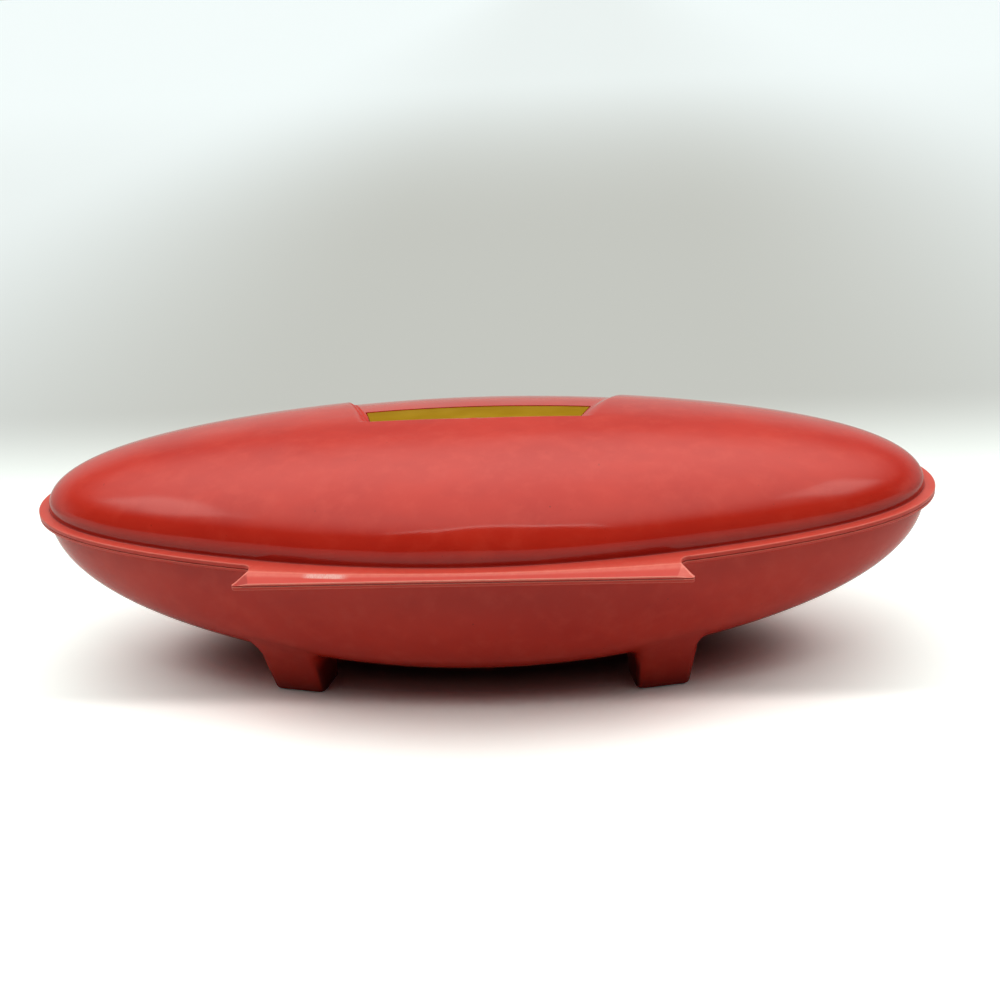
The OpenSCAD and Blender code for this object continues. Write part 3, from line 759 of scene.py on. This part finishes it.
def wear_and_painted_light(tree, where, rim):
    """Layers over the bare coral, each an amount and a colour, from the first to the last; besides
    wear and dirt they hold painted shade and painted highlights.
    """
    x, y, z = tree.axes(where)
    sideways, _, upright = tree.axes(tree.node("ShaderNodeTexCoord", out=1))
    grain = tree.noise(where, 2.2, 3.0, 0.7, 9.0)
    out, side = 0 - y, abs(x)
    right_half = x.rise(-1, 1)

    # The hinge lip: its crease, the facets and mitres at its ends and its two front edges. The pale
    # lines on the rims' edges and on the lip are partly wear, partly painted highlight.
    on_lip = z.rise(51.5, 51.7) * side.fall(61.5, 62)
    lip_front = out.rise(60.2, 60.45)
    crease_out = HALF_W - side * side * (LIP_SWEEP / LIP_HALF ** 2)
    crease = abs(out - crease_out).fall(0.1, 0.45) * z.rise(52.6, 52.7) * side.fall(57.6, 58.2)
    # The facets at the lip's ends: the left one is painted darker, a painted shade, and the right
    # one paler, a painted highlight.
    hip_in = out * HIP_SPREAD + side - (LIP_HALF - HIP_SPREAD * CREASE_END_Y)
    hip = hip_in.rise(-0.1, 0.3) * out.rise(54.4, 54.9) * on_lip
    mitre_in = side - out * MITRE_SLOPE - (LIP_HALF + MITRE_SLOPE * CREASE_END_Y)
    mitre = mitre_in.rise(-0.75, -0.35) * out.rise(54.0, 54.5) * on_lip
    lip_low = lip_front * (z.band(*BASE_LIP_BAND) + z.fall(50.4, 50.5))
    pale_wear_and_highlight = (z.band(*LID_EDGE_BAND) * 0.5 + z.band(*BASE_EDGE_BAND) * 0.55
            + lip_front * z.rise(51.6, 51.8) * 0.9 + lip_low * 0.45
            + crease * 0.2 + mitre * 0.8 + hip * right_half * 0.45)
    pale_wear_and_highlight = pale_wear_and_highlight * (0.6 + grain * 0.7)

    # Upright faces only, so that the mating faces stay clean when the box is open
    joint = abs(z - JOINT_Z).fall(0.06, 0.15) * abs(upright).fall(0.8, 0.95)

    streak = tree.noise(where * (5.5, 0.8, 0.8), 1.0, 1.0, 0.5, 14.0)
    scuff = x.band(*SCUFF_X) * (out - crease_out).band(*SCUFF_BELOW)
    scuff = scuff * (0.45 + 0.55 * streak.rise(0.3, 0.6)) * (0.5 + grain)
    scuff = scuff * upright.rise(0.5, 0.8) * z.rise(51.8, 51.9)

    # Painted shade: the feet's inner sides are painted dark low down between the feet.
    painted_shade_between_feet = (0 - x * sideways).rise(12, 34) * z.fall(8, 15)
    # Painted shade in these layers: the left hip facet, the dome's foot and the feet's inner sides;
    # the paler rims and edges are partly wear, partly painted sheen and highlight.
    return [(rim * 0.35, RUBBED_AND_SHEEN), (hip * (1 - right_half) * 0.5, SHADED),
            (pale_wear_and_highlight.rise(0.0, 1.0), WORN_AND_HIGHLIGHT), (joint * 0.85, JOINT_DIRT), (scuff * 0.65, SCUFFED),
            (z.band(*DOME_FOOT_SHADE_BAND) * 0.55, DOME_FOOT_SHADE), (painted_shade_between_feet * 0.75, FOOT_INSIDE_SHADE)]


# Gold strip and tray
def gold_metal():
    material, tree = new_material("bare_gold_strip")
    where = tree.place()
    grain = tree.noise(where * (0.02, 1.0, 1.0), 0.35, 2.0, 0.6, 5.0)
    cloud = tree.noise(where, 12, 2.0, 0.5, 6.0)
    tree.principled({
        "Base Color": tree.mix(cloud.rise(0.3, 0.7), rgb(192, 150, 38), rgb(205, 165, 52)),
        "Metallic": 1.0, "Roughness": 0.30 + grain * 0.12,
        "Normal": tree.bump(0.6, 0.02 * MM, grain), "Specular Tint": (1.0, 0.84, 0.42, 1.0)})
    return material


def tray_plastic():
    material, tree = new_material("tray_plastic")
    where = tree.place()
    cloud = tree.noise(where, 22, 3.0, 0.55, 7.0)
    fine = tree.noise(where, 1.2, 2.0, 0.5, 8.0)
    base = tree.mix(cloud.rise(0.3, 0.7), rgb(198, 56, 46), rgb(210, 66, 54))
    waxy_plastic(tree, base, 0.34 + cloud * 0.1, cloud * 0.1 + fine * 0.006, 1.44, 0.1)
    return material


# Floor
FLOOR_HALF = 12.0                     # metres
# The shade under the bowl is a painted shadow on the floor.
SHADE_X, SHADE_Y = 100.0, 34.0        # half sizes of the deep shade under the bowl
# What the camera shows of the floor: brighter than white near the case, with a cyan cast against
# the red the case throws, a painted light; and grey behind the case's middle, a painted shade.
FLOOR_NEAR, BACKDROP, BACKDROP_MIDDLE = rgb(278, 290, 290), rgb(236, 247, 252), rgb(188, 192, 190)
# What gloss shows and what lights are painted darker near and under the case: a painted shadow.
MIRRORED_NEAR, MIRRORED_FAR, MIRRORED_BEHIND = (
    rgb(184, 181, 178), rgb(232, 232, 228), rgb(178, 180, 178))
BOUNCE_UNDER, BOUNCE_NEAR, BOUNCE_FAR = rgb(70, 66, 63), rgb(150, 146, 143), rgb(216, 216, 212)


def floor():
    """Table top in three shades: what the camera shows, what gloss shows and what lights; each is
    painted darker near or under the case, a painted shadow.
    """
    mesh = bpy.data.meshes.new("floor")
    corners = [(-1, -1), (1, -1), (1, 1), (-1, 1)]
    mesh.from_pydata([(FLOOR_HALF * x, FLOOR_HALF * y, 0) for x, y in corners], [], [[0, 1, 2, 3]])
    material, tree = new_material("pale_floor")
    where = tree.place()
    x, y, z = tree.axes(where)
    out, side = 0 - y, abs(x)
    away = tree.node("ShaderNodeVectorMath", {"operation": "LENGTH"}, {0: where}, out=1)
    behind = y.rise(60, 240)
    under = (x * x / SHADE_X ** 2 + y * y / SHADE_Y ** 2) ** 0.5

    # Painted shade: grey behind the middle of the case, paler to the sides and far off.
    middle = (1 - side.rise(100, 520) * 0.75) * (1 - y.rise(600, 1900) * 0.75)
    shown = tree.mix(behind, FLOOR_NEAR, tree.mix(middle, BACKDROP, BACKDROP_MIDDLE))
    # Painted shadow and light: what the camera shows is darkened in an oval under the bowl and
    # painted lighter just in front of it.
    in_front = out.band(30, 40, 45, 110) * (1 - side.rise(60, 130) * 0.6)
    shown = shown * tree.level((0.1 + 0.9 * under.rise(0.55, 1.1)) * (1 + 0.7 * in_front))
    # Painted shadow in what gloss shows: darker near the case, and grey behind it.
    mirrored = tree.mix(away.rise(40, 200), MIRRORED_NEAR, MIRRORED_FAR)
    mirrored = tree.mix(behind, mirrored, MIRRORED_BEHIND)
    # Painted shade in the light the floor throws back: darkest under the bowl, dim near the case.
    bounce = tree.mix(away.rise(50, 120), BOUNCE_NEAR, BOUNCE_FAR)
    bounce = tree.mix(under.rise(0.8, 1.5), BOUNCE_UNDER, bounce)

    camera_ray, other_seen = tree.seen()
    shade = tree.mix(camera_ray, tree.mix(other_seen, bounce, mirrored), shown)
    tree.finish("ShaderNodeOutputMaterial", tree.node("ShaderNodeBsdfDiffuse", None, {0: shade}))
    mesh.materials.append(material)
    made = bpy.data.objects.new("floor", mesh)
    bpy.context.scene.collection.objects.link(made)


# Light
KEY_TILT = math.radians(11)           # the soft key leans to the back
KEY_LEVEL, FILL_LEVEL = 2.0, 0.05
SIDE_LEVEL, SILL_LEVEL = 1.7, 3.2
HORIZON, HORIZON_DROP = 0.72, 0.22    # the pale wall in front, and how much darker it is behind
ARCH_BEND = 2.2                       # how much the window's edges bow
LIGHT_TINT = (1.0, 0.975, 0.925, 1.0)


def studio_light():
    world = bpy.data.worlds.new("studio")
    bpy.context.scene.world = world
    tree = Tree(world)
    x, y, z = tree.axes(tree.node("ShaderNodeTexCoord", out=0))
    front, side = 0 - y, abs(x)
    key = z * math.cos(KEY_TILT) + y * math.sin(KEY_TILT)
    overhead = FILL_LEVEL + key.rise(0.46, 0.94) * KEY_LEVEL

    arch = front - x * x * ARCH_BEND
    window = arch.rise(0.455, 0.475) * side.fall(0.26, 0.34) * z.rise(0.02, 0.1)
    sill = arch.band(0.40, 0.415, 0.445, 0.455) * side.fall(0.24, 0.30) * z.rise(0.3, 0.4)
    low_front = front.rise(0.3, 0.6) * z.fall(0.3, 0.5) * z.rise(0.02, 0.1)
    low_front = low_front * (1 - side.rise(0.25, 0.5) * 0.6)
    side_box = side.band(0.53, 0.58, 0.68, 0.8) * front.band(-0.36, -0.2, 0.06, 0.22)
    side_box = side_box * z.rise(0.35, 0.5)
    dim = (1 - window * 0.92) * (1 - low_front * 0.75)
    level = (overhead + side_box * SIDE_LEVEL) * dim + sill * SILL_LEVEL

    behind = y.rise(-0.1, 0.3)
    above = z.rise(0.1, 0.16) * (1 - behind) + z.rise(0.15, 0.55) * behind
    pale_horizon = (HORIZON - HORIZON_DROP * behind) * (1 - above) + level * above
    camera_ray, other_seen = tree.seen()
    shown = (camera_ray + other_seen).rise(0.0, 1.0)
    level = pale_horizon * shown + level * (1 - shown)
    sky = tree.node("ShaderNodeBackground", None, {"Color": LIGHT_TINT, "Strength": level})
    tree.finish("ShaderNodeOutputWorld", sky)


# Camera, fitted to the outlines in the photograph; directions and metres
SENSOR = 36.0
FOCAL_SHARE = 1281.8 / 1000           # focal length as a share of the picture's width
CAMERA_RIGHT = (0.99687687, 0.06015032, -0.05117076)
CAMERA_UP = (0.02312052, 0.39727435, 0.91740859)
CAMERA_BACK = (0.07551125, -0.9157265, 0.39464291)
CAMERA_SPOT = (0.036086, -0.356652, 0.202158)


def camera():
    data = bpy.data.cameras.new("camera")
    data.sensor_fit = "HORIZONTAL"
    data.sensor_width = SENSOR
    data.lens = SENSOR * FOCAL_SHARE
    data.clip_start, data.clip_end = 0.01, 50.0
    made = bpy.data.objects.new("camera", data)
    rows = zip(CAMERA_RIGHT, CAMERA_UP, CAMERA_BACK, CAMERA_SPOT)
    made.matrix_world = Matrix([*rows, (0, 0, 0, 1)])
    bpy.context.scene.collection.objects.link(made)
    bpy.context.scene.camera = made


# The box
camera()
studio_light()
floor()

coral, gold, tray_coral = coral_plastic(), gold_metal(), tray_plastic()

lid = piece("lid", lid_skin(), coral)
pocket = piece("pocket", strip_block(0.0, -2.0, PANEL_DROP + POCKET_DROP), coral)
cut(lid, pocket)
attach(lid, "lid")
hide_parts("lid_shell")

strip_low = PANEL_DROP + POCKET_DROP - GLUE_T
strip = piece("gold_strip", strip_block(STRIP_GAP, strip_low - STRIP_T, strip_low, STRIP_EDGE),
              gold)
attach(strip, "lid")
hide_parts("name_plate")

base = piece("base_bowl", base_skin(), coral)
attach(base, "base")
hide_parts("base_shell")

fold = piece("hinge_fold", hinge_skin(), coral)
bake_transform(fold)
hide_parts("hinge_web")

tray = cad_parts["tray"]
tray.data.materials.clear()
tray.data.materials.append(tray_coral)

scene = bpy.context.scene
scene.view_settings.view_transform = "Standard"
